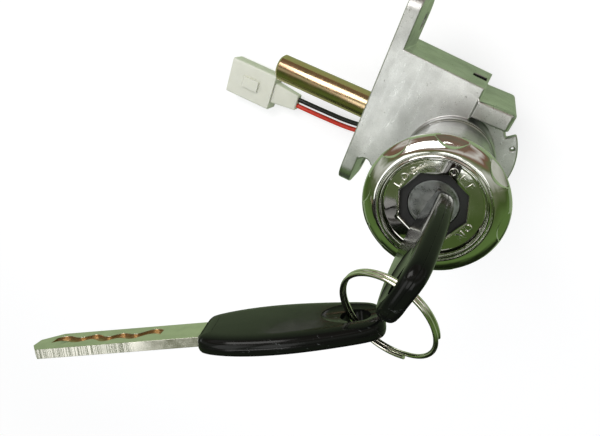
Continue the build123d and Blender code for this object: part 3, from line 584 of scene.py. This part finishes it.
class LOCK_OT_casting(LockBuilder, bpy.types.Operator):
    """The die-cast body with its broken edges"""

    bl_idname = "lock.casting"
    bl_label = "Casting"

    # Painted shade darkens the colour round the barrel's foot. All in millimetres, pairs from no effect to
    # the full one.
    barrel_foot, dull_reach = (34.4, 0, 26), (26, 15)
    # The small pocket in the housing's wall, its floor and sides painted near black as painted shade: its
    # middle, its floor, half its width and height, its mouth.
    pocket_x, pocket_z, pocket_floor_y = 31, 6, 24
    pocket_half_x, pocket_half_z, pocket_mouth_y = (2.7, 2.6), (4.2, 4.1), (26.95, 26.6)

    def inside_wall_pocket(self, finish, spot):
        """1 on the floor and sides of the small pocket in the housing's wall, where the painted shade goes.
        """
        across = abs(finish.axis(spot, 0) - self.pocket_x * MM)
        along = abs(finish.axis(spot, 2) - self.pocket_z * MM)
        height = finish.axis(spot, 1)
        deep = height.fade_mm(*self.pocket_mouth_y) * height.above(self.pocket_floor_y * MM)
        return across.fade_mm(*self.pocket_half_x) * along.fade_mm(*self.pocket_half_z) * deep

    def alloy(self):
        """Bare die casting with clouds, streaks and small pits, with painted shade round the barrel's foot
        and near-black painted shade in the wall's pocket.
        """
        tint = self.finishes.cast
        finish = Finish("die_cast_alloy")
        spot = finish.spot()
        cloud = finish.noise(11 * MM, 4, 0.6)
        wave = finish.noise(16 * MM, 1, 0.4)
        grain = finish.noise(0.45 * MM, 3, 0.7)
        pits = finish.noise(1.1 * MM, 1, 0.5).fade(0.74, 0.79)
        streak = finish.noise(2.2 * MM, 3, 0.6, stretch=(1, 0.2, 1))
        tarnish = (cloud * 0.7 + grain * 0.3).spread()
        clean = finish.mix(tarnish, tone(tint, 0.78), tone(tint, 1.18))
        dull = finish.measure("DISTANCE", spot, mm(*self.barrel_foot)).fade_mm(*self.dull_reach)
        pocket = self.inside_wall_pocket(finish, spot)
        # Painted shade: the colour darkens towards the barrel's foot.
        worn = finish.mix(dull * 0.35, clean, tone(tint, 0.55))
        marked = finish.mix(pits * 0.5, worn, tone(tint, 0.35))
        return finish.give(
            # Painted shade: the pocket's floor and sides are painted near black.
            base_color=finish.mix(pocket, marked, tone(tint, 0.06)),
            metallic=1.0,
            roughness=(streak * 0.4 + grain * 0.6).fade(0.25, 0.75, 0.24, 0.44),
            normal=finish.bump(grain * 0.25 + streak * 0.15 + wave * 2.5 - pits * 0.6, 0.09 * MM, 0.8),
        )

    def execute(self, context):
        stand_in("lock_body", self.alloy(), edge=0.55 * MM, segments=3, clamp=False)
        return {"FINISHED"}


class LOCK_OT_bezel(LockBuilder, bpy.types.Operator):
    """The chrome bezel with raised position marks, and the black ring in its window"""

    bl_idname = "lock.bezel"
    bl_label = "Bezel"

    # Each mark with the angle of its middle, and the angle between letters, in degrees.
    marks = {"LOCK": 150, "OFF": 72, "ON": -14}
    letter_angle = 15
    # A letter's font size to its height, and its rounding and thickening in millimetres.
    font_share, letter_round, letter_bold = 1.35, 0.07, 0.05

    # The section all round, as radius and height in millimetres. The face round the window is flat.
    columns = 320
    face_z = 71.0
    side = (
        (16.6, 58.0), (16.85, 58.3), (17.35, 60.5), (17.95, 63.5), (18.45, 66.0), (18.85, 68.0),
        (18.98, 69.2),
    )
    steps = (
        (14.95, 73.05), (14.79, 72.95), (14.71, 72.75), (14.69, 72.45), (14.59, 72.35), (14.5, 72.45),
        (14.42, 72.8), (14.3, 73.05), (14.13, 73.2), (13.94, 73.25), (13.75, 73.15), (13.64, 72.9),
        (13.57, 72.55), (13.48, 72.42), (13.38, 72.5), (13.29, 72.62), (13.16, 72.62), (13.06, 72.5),
        (12.98, 72.1), (12.93, 71.45), (12.86, 71.12), (12.72, 71.01), (12.6, face_z), (12.28, face_z),
    )
    under = ((14.5, 69.4), (14.5, 58.0))
    # The octagonal window: half its width over the flats, and its rim as distance outside it and height.
    window_half = 8.6
    rim = ((0.8, face_z), (0.55, face_z), (0.25, 70.95), (0.06, 70.75), (0, 70.4), (0, 69.4))
    # The domed band: its crest's radius, its width, the height of its edge, its rise and its roundness.
    crest, band_width, band_z, band_rise, band_power = 14.95, 4.05, 70.3, 2.75, 1.3
    # The scallops in the band: degrees from one to the next and to the first, and in millimetres the radius
    # at which they are measured, half their width there, and the circle that bounds them in plan.
    scallop_pitch, scallop_start = 45, 11
    scallop_at, scallop_half, plan_centre, plan_radius = 18.0, 4.15, 20.9, 4.6
    # Their depth and how its fall to the sides bends. The inner end rises in a steep wall, the outer end
    # keeps only a little of the depth, and the hollow leans inwards.
    scallop_depth, scallop_fall, wall_share, outer_loss, lean = 0.8, 0.6, 0.17, 0.9, 0.3
    scallop_rows, crest_rows = 12, 8

    def dome(self, share):
        """Radius and height on the domed band: share 0 is the widest edge, 1 the crest."""
        angle = share * math.pi / 2
        radius = self.crest + self.band_width * max(0.0, math.cos(angle)) ** self.band_power
        return radius, self.band_z + self.band_rise * math.sin(angle) ** self.band_power

    def column(self, turn):
        """The section at one angle, from the foot over the band to the window and back."""
        half_pitch = self.scallop_pitch / 2
        bite = (math.degrees(turn) - self.scallop_start + half_pitch) % self.scallop_pitch - half_pitch
        sideways = math.radians(bite) * self.scallop_at
        edge, depth = 0.0, 0.0
        if abs(sideways) < self.scallop_half:
            inner = self.plan_centre - math.sqrt(self.plan_radius**2 - sideways**2)
            reach = ((inner - self.crest) / self.band_width) ** (1 / self.band_power)
            edge = math.acos(reach) / (math.pi / 2)
            depth = self.scallop_depth * (1 - (sideways / self.scallop_half) ** 2) ** self.scallop_fall
        rows = list(self.side)
        for count in range(self.scallop_rows + 1):
            share = count / self.scallop_rows
            radius, height = self.dome(edge * share)
            low = 1 - share
            if low < self.wall_share:
                hollow = math.sin(low / self.wall_share * math.pi / 2)
            else:
                hollow = 1 - self.outer_loss * (low - self.wall_share) / (1 - self.wall_share)
            rows.append((radius - depth * hollow * self.lean, height - depth * hollow))
        for count in range(1, self.crest_rows + 1):
            rows.append(self.dome(edge + (1 - edge) * count / self.crest_rows))
        rows += self.steps
        window = self.window_half / math.cos(turn % (math.pi / 4) - math.pi / 8)
        rows += [(window + outside, height) for outside, height in self.rim]
        rows += self.under
        return rows

    def bezel_shape(self):
        """The section at every angle, joined to one closed surface."""
        shape = bmesh.new()
        loops = []
        for count in range(self.columns):
            turn = 2 * math.pi * count / self.columns
            out = Vector((math.cos(turn), math.sin(turn), 0))
            loops.append([
                shape.verts.new((AXIS + out * radius + Vector((0, 0, height))) * MM)
                for radius, height in self.column(turn)
            ])
        for here, there in zip(loops, loops[1:] + loops[:1]):
            for row in range(len(here)):
                after = (row + 1) % len(here)
                shape.faces.new((here[row], there[row], there[after], here[after]))
        bmesh.ops.remove_doubles(shape, verts=shape.verts, dist=MERGE)
        bmesh.ops.recalc_face_normals(shape, faces=shape.faces)
        return shape

    def mark(self, word, middle, chrome):
        """A word in raised letters, its feet towards the window."""
        size = self.sizes
        for count, letter in enumerate(word):
            text = bpy.data.curves.new(word + letter, "FONT")
            text.body = letter
            text.align_x = "CENTER"
            text.size = size.mark_height * self.font_share
            text.extrude = size.mark_rise
            text.bevel_depth = self.letter_round * MM
            text.bevel_resolution = 1
            text.offset = self.letter_bold * MM
            text.resolution_u = 4
            flat = add_object("mark", text)
            mesh = applied(flat)
            bpy.data.objects.remove(flat)
            angle = math.radians(middle + self.letter_angle * ((len(word) - 1) / 2 - count))
            outward = Vector((math.cos(angle), math.sin(angle), 0))
            place = Matrix.Translation(AXIS * MM + outward * size.mark_radius + mm(0, 0, self.face_z))
            mesh.transform(place @ Matrix.Rotation(angle - math.pi / 2, 4, "Z"))
            piece = add_object(f"mark_{word}_{count + 1}", mesh)
            cover(piece, chrome)
            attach(piece, "housing")

    def chrome(self):
        """Bright plating with a faint waviness."""
        tint = self.finishes.chrome
        finish = Finish("bezel_chrome")
        cloud = finish.noise(6 * MM, 3, 0.5)
        wave = finish.noise(3.5 * MM, 2, 0.5)
        return finish.give(
            base_color=finish.mix(cloud.spread(), tone(tint, 0.95), tone(tint, 1.05)),
            metallic=1.0,
            roughness=cloud.fade(0.35, 0.7, 0.03, 0.09),
            normal=finish.bump(wave, 0.05 * MM, 0.35),
        )

    def execute(self, context):
        chrome = self.chrome()
        bezel = new_piece("bezel_shown", self.bezel_shape(), smooth_angle=33)
        cover(bezel, chrome)
        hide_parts("bezel")
        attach(bezel, "housing")
        for word, middle in self.marks.items():
            self.mark(word, middle, chrome)
        black = moulded("window_black", self.finishes.black_plastic, 0.35, 0.5, 2 * MM, 0.01 * MM)
        dress("face_ring", black)
        return {"FINISHED"}


class LOCK_OT_plug(LockBuilder, bpy.types.Operator):
    """The plug's turned face"""

    bl_idname = "lock.plug"
    bl_label = "Plug"

    def execute(self, context):
        tint = self.finishes.plug
        finish = Finish("turned_zinc")
        cloud = finish.noise(2.2 * MM, 3, 0.6)
        fine = finish.noise(0.25 * MM, 2, 0.5)
        material = finish.give(
            base_color=finish.mix(cloud.spread(), tone(tint, 0.72), tone(tint, 1.2)),
            metallic=1.0,
            roughness=(cloud * 0.5 + fine * 0.5).spread(0.24, 0.42),
            normal=finish.bump(fine, 0.008 * MM),
        )
        stand_in("plug", material, edge=0.06 * MM)
        return {"FINISHED"}


class LOCK_OT_keys(LockBuilder, bpy.types.Operator):
    """Both keys: gloss black heads and plated blades with side-milled tracks"""

    bl_idname = "lock.keys"
    bl_label = "Keys"

    # Each key's shoulder in millimetres, the way across its thickness and the way to its ring hole.
    keys = {
        "key_a": ((34.4, 0, 76.0), (0.994522, -0.104528, 0), (0, 0, 1)),
        "key_b": ((0.4219, -36.0677, 114.0392), (0.508586, -0.841919, 0.18031), (0.8373, 0.4348, -0.3315)),
    }

    # Half the head's outline, from the shoulder to the ring end, as distance along the key and half width.
    outline = (
        (0, 0), (0, 4.0), (0.2, 6.6), (4.0, 8.4), (9.5, 9.9), (17, 10.6), (25, 10.1), (33, 8.8),
        (39.6, 7.4), (42, 4.8), (42, 0),
    )
    curve_steps = 10
    # The head's rounded edge with its parting line, as distance inside the outline and height.
    section = (
        (3.2, 2.25), (2.2, 2.22), (1.4, 2.12), (0.85, 1.94), (0.45, 1.66), (0.2, 1.3), (0.06, 0.9),
        (0, 0.4), (0, 0.12), (0.09, 0.0), (0, -0.12), (0, -0.4),
        (0.06, -0.9), (0.2, -1.3), (0.45, -1.66), (0.85, -1.94), (1.4, -2.12), (2.2, -2.22), (3.2, -2.25),
    )
    head_smooth_angle = 28
    # The ring hole, and the ellipsoid that scoops the head round it on each side.
    hole_at, hole_radius, hole_length = 35.5, 3.5, 8
    scoop_at, scoop_height, scoop_radii = 34.6, 2.3, (6.9, 5.6, 0.95)

    # Pairs from no effect to the full one, in millimetres from the middle or along the key: how deep the
    # grey scuffs and painted highlight lie in the head, and where the blade's milled tracks and the ridges
    # of its edges are.
    scuff_and_highlight_depth = (1.9, 1.5)
    track_depth, track_half, track_end = (1.06, 0.90), (3.9, 3.7), (-6, -8)
    ridge_half, ridge_end, ridges_per_metre = (4.0, 4.15), (-15, -17), 2600.0
    scuff_tint, worn_tint = (0.16, 0.17, 0.17), (0.50, 0.36, 0.20)

    def smooth_outline(self):
        """The closed outline, rounded as a cubic B-spline over its corner points."""
        corners = list(self.outline) + [(x, -y) for x, y in self.outline[-2:0:-1]]
        points = []
        for index in range(len(corners)):
            a, b, c, d = (Vector(corners[(index + step) % len(corners)]) for step in (-1, 0, 1, 2))
            for count in range(self.curve_steps):
                t = count / self.curve_steps
                points.append(
                    (a * (1 - t) ** 3 + b * (3 * t**3 - 6 * t**2 + 4)
                     + c * (-3 * t**3 + 3 * t**2 + 3 * t + 1) + d * t**3) / 6
                )
        return points

    def cut(self, piece, name, cutter_shape):
        """Cuts a solid out of the piece."""
        cutter = new_piece(name, cutter_shape)
        step = piece.modifiers.new("cut", "BOOLEAN")
        step.operation = "DIFFERENCE"
        step.solver = "EXACT"
        step.object = cutter
        mesh = applied(piece)
        piece.modifiers.remove(step)
        piece.data = mesh
        bpy.data.objects.remove(cutter)

    def head_shape(self, key, origin, thick, length):
        """A smooth key head with a parting line at mid thickness, a ring hole and a scoop round it."""
        thick, length = Vector(thick).normalized(), Vector(length).normalized()
        turn = Matrix((length, thick.cross(length), thick)).transposed().to_4x4()
        place = Matrix.Translation(mm(*origin)) @ turn
        points = self.smooth_outline()
        shape = bmesh.new()
        loops = []
        for inset, height in self.section:
            loop = []
            for index, point in enumerate(points):
                run = points[(index + 1) % len(points)] - points[index - 1]
                inward = Vector((run.y, -run.x)).normalized()
                spot = point + inward * inset
                loop.append(shape.verts.new(place @ mm(spot.x, spot.y, height)))
            loops.append(loop)
        for lower, upper in zip(loops, loops[1:]):
            for index in range(len(points)):
                after = (index + 1) % len(points)
                shape.faces.new((lower[index], lower[after], upper[after], upper[index]))
        shape.faces.new(loops[0])
        shape.faces.new(loops[-1])
        bmesh.ops.recalc_face_normals(shape, faces=shape.faces)
        piece = new_piece(key + "_head_shown", shape)
        hole = bmesh.new()
        bmesh.ops.create_cone(
            hole, cap_ends=True, segments=64, radius1=self.hole_radius * MM, radius2=self.hole_radius * MM,
            depth=self.hole_length * MM, matrix=place @ Matrix.Translation(mm(self.hole_at, 0, 0)),
        )
        self.cut(piece, "hole_cutter", hole)
        for side in (1, -1):
            middle = Matrix.Translation(mm(self.scoop_at, 0, side * self.scoop_height))
            scoop = bmesh.new()
            bmesh.ops.create_uvsphere(
                scoop, u_segments=64, v_segments=32, radius=MM,
                matrix=place @ middle @ Matrix.Diagonal((*self.scoop_radii, 1)),
            )
            self.cut(piece, "scoop_cutter", scoop)
        shade(piece.data, self.head_smooth_angle)
        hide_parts(key + "_head")
        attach(piece, frame["nodes"][key + "_head"]["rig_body"])
        return piece

    def along(self, finish, spot, origin, way):
        """Distance from the origin along a direction, in metres."""
        way = Vector(way).normalized()
        return finish.measure("DOT_PRODUCT", spot, way) - mm(*origin).dot(way)

    def head(self, key, origin, thick):
        """Gloss black moulding, with grey patches round its edge and in its scoops that are partly scuffs
        and partly a painted highlight.
        """
        finish = Finish(key + "_moulding")
        away = abs(self.along(finish, finish.spot(), origin, thick))
        cloud = finish.noise(7 * MM, 3, 0.5)
        scuff = finish.noise(0.9 * MM, 4, 0.7, stretch=(0.5, 1, 1)).fade(0.60, 0.72)
        scuff = scuff * away.fade_mm(*self.scuff_and_highlight_depth) * cloud.fade(0.48, 0.62)
        return finish.give(
            # Painted highlight: grey patches on the edge band and in the scoops, partly scuffs and partly
            # the edge's highlight painted into the colour.
            base_color=finish.mix(scuff * 0.5, self.finishes.key_black, self.scuff_tint),
            roughness=cloud.spread(0.10, 0.17) + scuff * 0.3,
            specular_ior_level=0.2,
            normal=finish.bump(finish.noise(4 * MM, 2, 0.4) * 0.5 - scuff * 0.1, 0.10 * MM, 0.6),
        )

    def blade(self, key, origin, thick, length):
        """Nickel plating, worn to the brass in the milled tracks and ridged along the edges."""
        tint = self.finishes.blade
        finish = Finish(key + "_plating")
        spot = finish.spot()
        depth = abs(self.along(finish, spot, origin, thick))
        reach = self.along(finish, spot, origin, length)
        half = abs(self.along(finish, spot, origin, Vector(length).cross(Vector(thick))))
        track = depth.fade_mm(*self.track_depth) * half.fade_mm(*self.track_half)
        track = track * reach.fade_mm(*self.track_end)
        ridges = finish.value(
            "ShaderNodeTexNoise",
            {"W": reach, "Scale": self.ridges_per_metre, "Detail": 2.0, "Roughness": 0.8},
            noise_dimensions="1D",
        )
        edge = half.fade_mm(*self.ridge_half) * reach.fade_mm(*self.ridge_end)
        cloud = finish.noise(3 * MM, 3, 0.6)
        plain = finish.mix(cloud.spread(), tone(tint, 0.92), tone(tint, 1.08))
        return finish.give(
            base_color=finish.mix(track, plain, self.worn_tint),
            metallic=1.0,
            roughness=cloud.spread(0.10, 0.20) + track * 0.2 + edge * 0.1,
            normal=finish.bump(ridges.fade(0.42, 0.58) * edge * 0.5 + cloud * 0.04, 0.12 * MM, 0.8),
        )

    def execute(self, context):
        for key, (origin, thick, length) in self.keys.items():
            piece = self.head_shape(key, origin, thick, length)
            cover(piece, self.head(key, origin, thick))
            stand_in(key + "_blade", self.blade(key, origin, thick, length), edge=0.07 * MM)
        return {"FINISHED"}


class LOCK_OT_ring(LockBuilder, bpy.types.Operator):
    """The split ring: two coils of round wire, with one crossing between them"""

    bl_idname = "lock.ring"
    bl_label = "Split ring"

    # The ring's middle in millimetres, its axis, and the way from the middle to the key in the plug.
    centre = (34.8556, -11.7824, 106.919)
    normal = (-0.213093, -0.361221, 0.907805)
    toward_key = (-0.036016, 0.931419, 0.362163)
    # Where the wire crosses from coil to coil, in degrees from that way, and the steps it is built in.
    crossing = (222, 292)
    coil_steps, crossing_steps, wire_segments = 132, 40, 20

    def execute(self, context):
        size = self.sizes
        centre, normal, toward = mm(*self.centre), Vector(self.normal), Vector(self.toward_key)
        first, last = (math.radians(angle) for angle in self.crossing)
        start = Matrix.Rotation(last, 3, normal) @ toward
        turn = Matrix((start, normal, start.cross(normal))).transposed().to_4x4()
        place = Matrix.Translation(centre + start * size.ring_radius - normal * size.ring_pitch / 2) @ turn
        shape = bmesh.new()
        bmesh.ops.create_circle(
            shape, cap_ends=False, radius=size.ring_wire_radius, segments=self.wire_segments, matrix=place
        )
        end = shape.verts[:] + shape.edges[:]
        bmesh.ops.edgeloop_fill(shape, edges=shape.edges[:])
        coil = (2 * math.pi - (last - first), 0.0, self.coil_steps)
        for angle, rise, steps in (coil, (last - first, size.ring_pitch, self.crossing_steps), coil):
            spun = bmesh.ops.spin(
                shape, geom=end, cent=centre, axis=normal, dvec=normal * rise / steps, angle=angle,
                steps=steps,
            )
            end = spun["geom_last"]
        loop = [item for item in end if isinstance(item, bmesh.types.BMEdge)]
        bmesh.ops.edgeloop_fill(shape, edges=loop)
        bmesh.ops.remove_doubles(shape, verts=shape.verts, dist=MERGE)
        bmesh.ops.recalc_face_normals(shape, faces=shape.faces)
        ring = new_piece("split_ring_coils", shape, smooth_angle=40)
        cover(ring, plated("ring_nickel", self.finishes.ring, 0.07, 0.16, 2.5 * MM, 0.004 * MM))
        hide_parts("split_ring")
        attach(ring, "ring")
        return {"FINISHED"}


class LOCK_OT_bolt(LockBuilder, bpy.types.Operator):
    """The yellow zinc plated lock bolt"""

    bl_idname = "lock.bolt"
    bl_label = "Lock bolt"

    # Factors on the plating's red, green and blue where it is warmer and where it is greener.
    warm_shares, green_shares = (1.1, 0.84, 0.9), (0.75, 0.98, 0.7)

    def execute(self, context):
        tint = self.finishes.yellow_zinc
        finish = Finish("yellow_zinc")
        cloud = finish.noise(5 * MM, 3, 0.6)
        turning = finish.noise(0.5 * MM, 2, 0.5, stretch=(1, 0.05, 0.05))
        warm = finish.mix(cloud.fade(0.25, 0.75), tint, shift(tint, self.warm_shares))
        material = finish.give(
            base_color=finish.mix(turning * 0.4, warm, shift(tint, self.green_shares)),
            metallic=1.0,
            roughness=(turning * 0.5 + cloud * 0.5).spread(0.14, 0.26),
            normal=finish.bump(turning, 0.006 * MM),
        )
        stand_in("lock_bolt", material, edge=0.15 * MM)
        return {"FINISHED"}


class LOCK_OT_connector(LockBuilder, bpy.types.Operator):
    """The natural nylon connector and its sleeve"""

    bl_idname = "lock.connector"
    bl_label = "Connector"

    def execute(self, context):
        tint = self.finishes.nylon
        finish = Finish("natural_nylon")
        cloud = finish.noise(5 * MM, 3, 0.5)
        nylon = finish.give(
            base_color=finish.mix(cloud, tone(tint, 0.90), tone(tint, 1.04)),
            roughness=cloud.spread(0.28, 0.40),
            subsurface_weight=0.3,
            subsurface_radius=(1.0, 1.0, 0.9),
            subsurface_scale=3 * MM,
            normal=finish.bump(finish.noise(0.6 * MM, 2), 0.01 * MM),
        )
        stand_in("connector_housing", nylon, edge=0.4 * MM, segments=3)
        stand_in("connector_sleeve", nylon, edge=0.5 * MM, segments=3)
        dress("contact_rotor", nylon)
        return {"FINISHED"}


class LOCK_OT_inside(LockBuilder, bpy.types.Operator):
    """The switch at the back and the pieces of the mechanism"""

    bl_idname = "lock.inside"
    bl_label = "Switch and mechanism"

    steel_nodes = ("plug_clip", "cam", "bolt_slider", "follower_pin", "bolt_rivet", "bolt_spring")
    brass_nodes = (
        "contact_bridge", "terminal_black", "terminal_red", "wafer_1", "wafer_2", "wafer_3", "wafer_4",
        "wafer_5", "wafer_6",
    )
    screws = ("base_screw_1", "base_screw_2", "base_screw_3")

    def squash_spring(self):
        """Gives the bolt spring a mesh of its own. It is not shortened here, though the real spring
        shortens towards its fixed end as the bolt goes in by 8 mm.
        """
        spring = frame["nodes"]["bolt_spring"]
        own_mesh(spring)

    def execute(self, context):
        finishes = self.finishes
        steel = plated("bright_steel", finishes.steel, 0.24, 0.38, 3 * MM, 0.008 * MM)
        brass = plated("stamped_brass", finishes.brass, 0.22, 0.36, 2 * MM, 0.006 * MM)
        black = moulded("switch_moulding", finishes.black_plastic, 0.38, 0.52, 3 * MM, 0.01 * MM)
        for node in self.steel_nodes:
            dress(node, steel)
        self.squash_spring()
        for node in self.brass_nodes:
            dress(node, brass)
        dress("contact_plate", black)
        for screw in self.screws:
            stand_in(screw, steel, edge=0.1 * MM)
        stand_in("switch_base", black, edge=0.3 * MM, segments=3)
        stand_in("grommet", black, edge=0.3 * MM, segments=3)
        return {"FINISHED"}


class LOCK_PT_panel(bpy.types.Panel):
    """Lists the lock's pieces"""

    bl_idname = "LOCK_PT_panel"
    bl_label = "Ignition lock"
    bl_space_type = "VIEW_3D"
    bl_region_type = "UI"
    bl_category = "Ignition lock"

    def draw(self, context):
        for operator in OPERATORS:
            self.layout.operator(operator.bl_idname)
        for group in (context.scene.lock_finishes, context.scene.lock_sizes, context.scene.lock_stage):
            column = self.layout.column()
            for name in group.__annotations__:
                column.prop(group, name)


OPERATORS = (
    LOCK_OT_stage, LOCK_OT_wires, LOCK_OT_casting, LOCK_OT_bezel, LOCK_OT_plug, LOCK_OT_keys, LOCK_OT_ring,
    LOCK_OT_bolt, LOCK_OT_connector, LOCK_OT_inside,
)
GROUPS = (LockFinishes, LockSizes, LockStage)


def register():
    for item in (*GROUPS, *OPERATORS, LOCK_PT_panel):
        bpy.utils.register_class(item)
    bpy.types.Scene.lock_finishes = PointerProperty(type=LockFinishes)
    bpy.types.Scene.lock_sizes = PointerProperty(type=LockSizes)
    bpy.types.Scene.lock_stage = PointerProperty(type=LockStage)


def unregister():
    del bpy.types.Scene.lock_stage
    del bpy.types.Scene.lock_sizes
    del bpy.types.Scene.lock_finishes
    for item in (LOCK_PT_panel, *reversed(OPERATORS), *reversed(GROUPS)):
        bpy.utils.unregister_class(item)


def corners(box):
    """Both corners of a box as plain lists of numbers."""
    return [[float(number) for number in corner] for corner in box]


def main():
    register()
    bpy.ops.lock.stage()
    bpy.ops.lock.wires()
    bpy.ops.lock.casting()
    bpy.ops.lock.bezel()
    bpy.ops.lock.plug()
    bpy.ops.lock.keys()
    bpy.ops.lock.ring()
    bpy.ops.lock.bolt()
    bpy.ops.lock.connector()
    bpy.ops.lock.inside()
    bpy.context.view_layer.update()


if __name__ == "__main__":
    main()
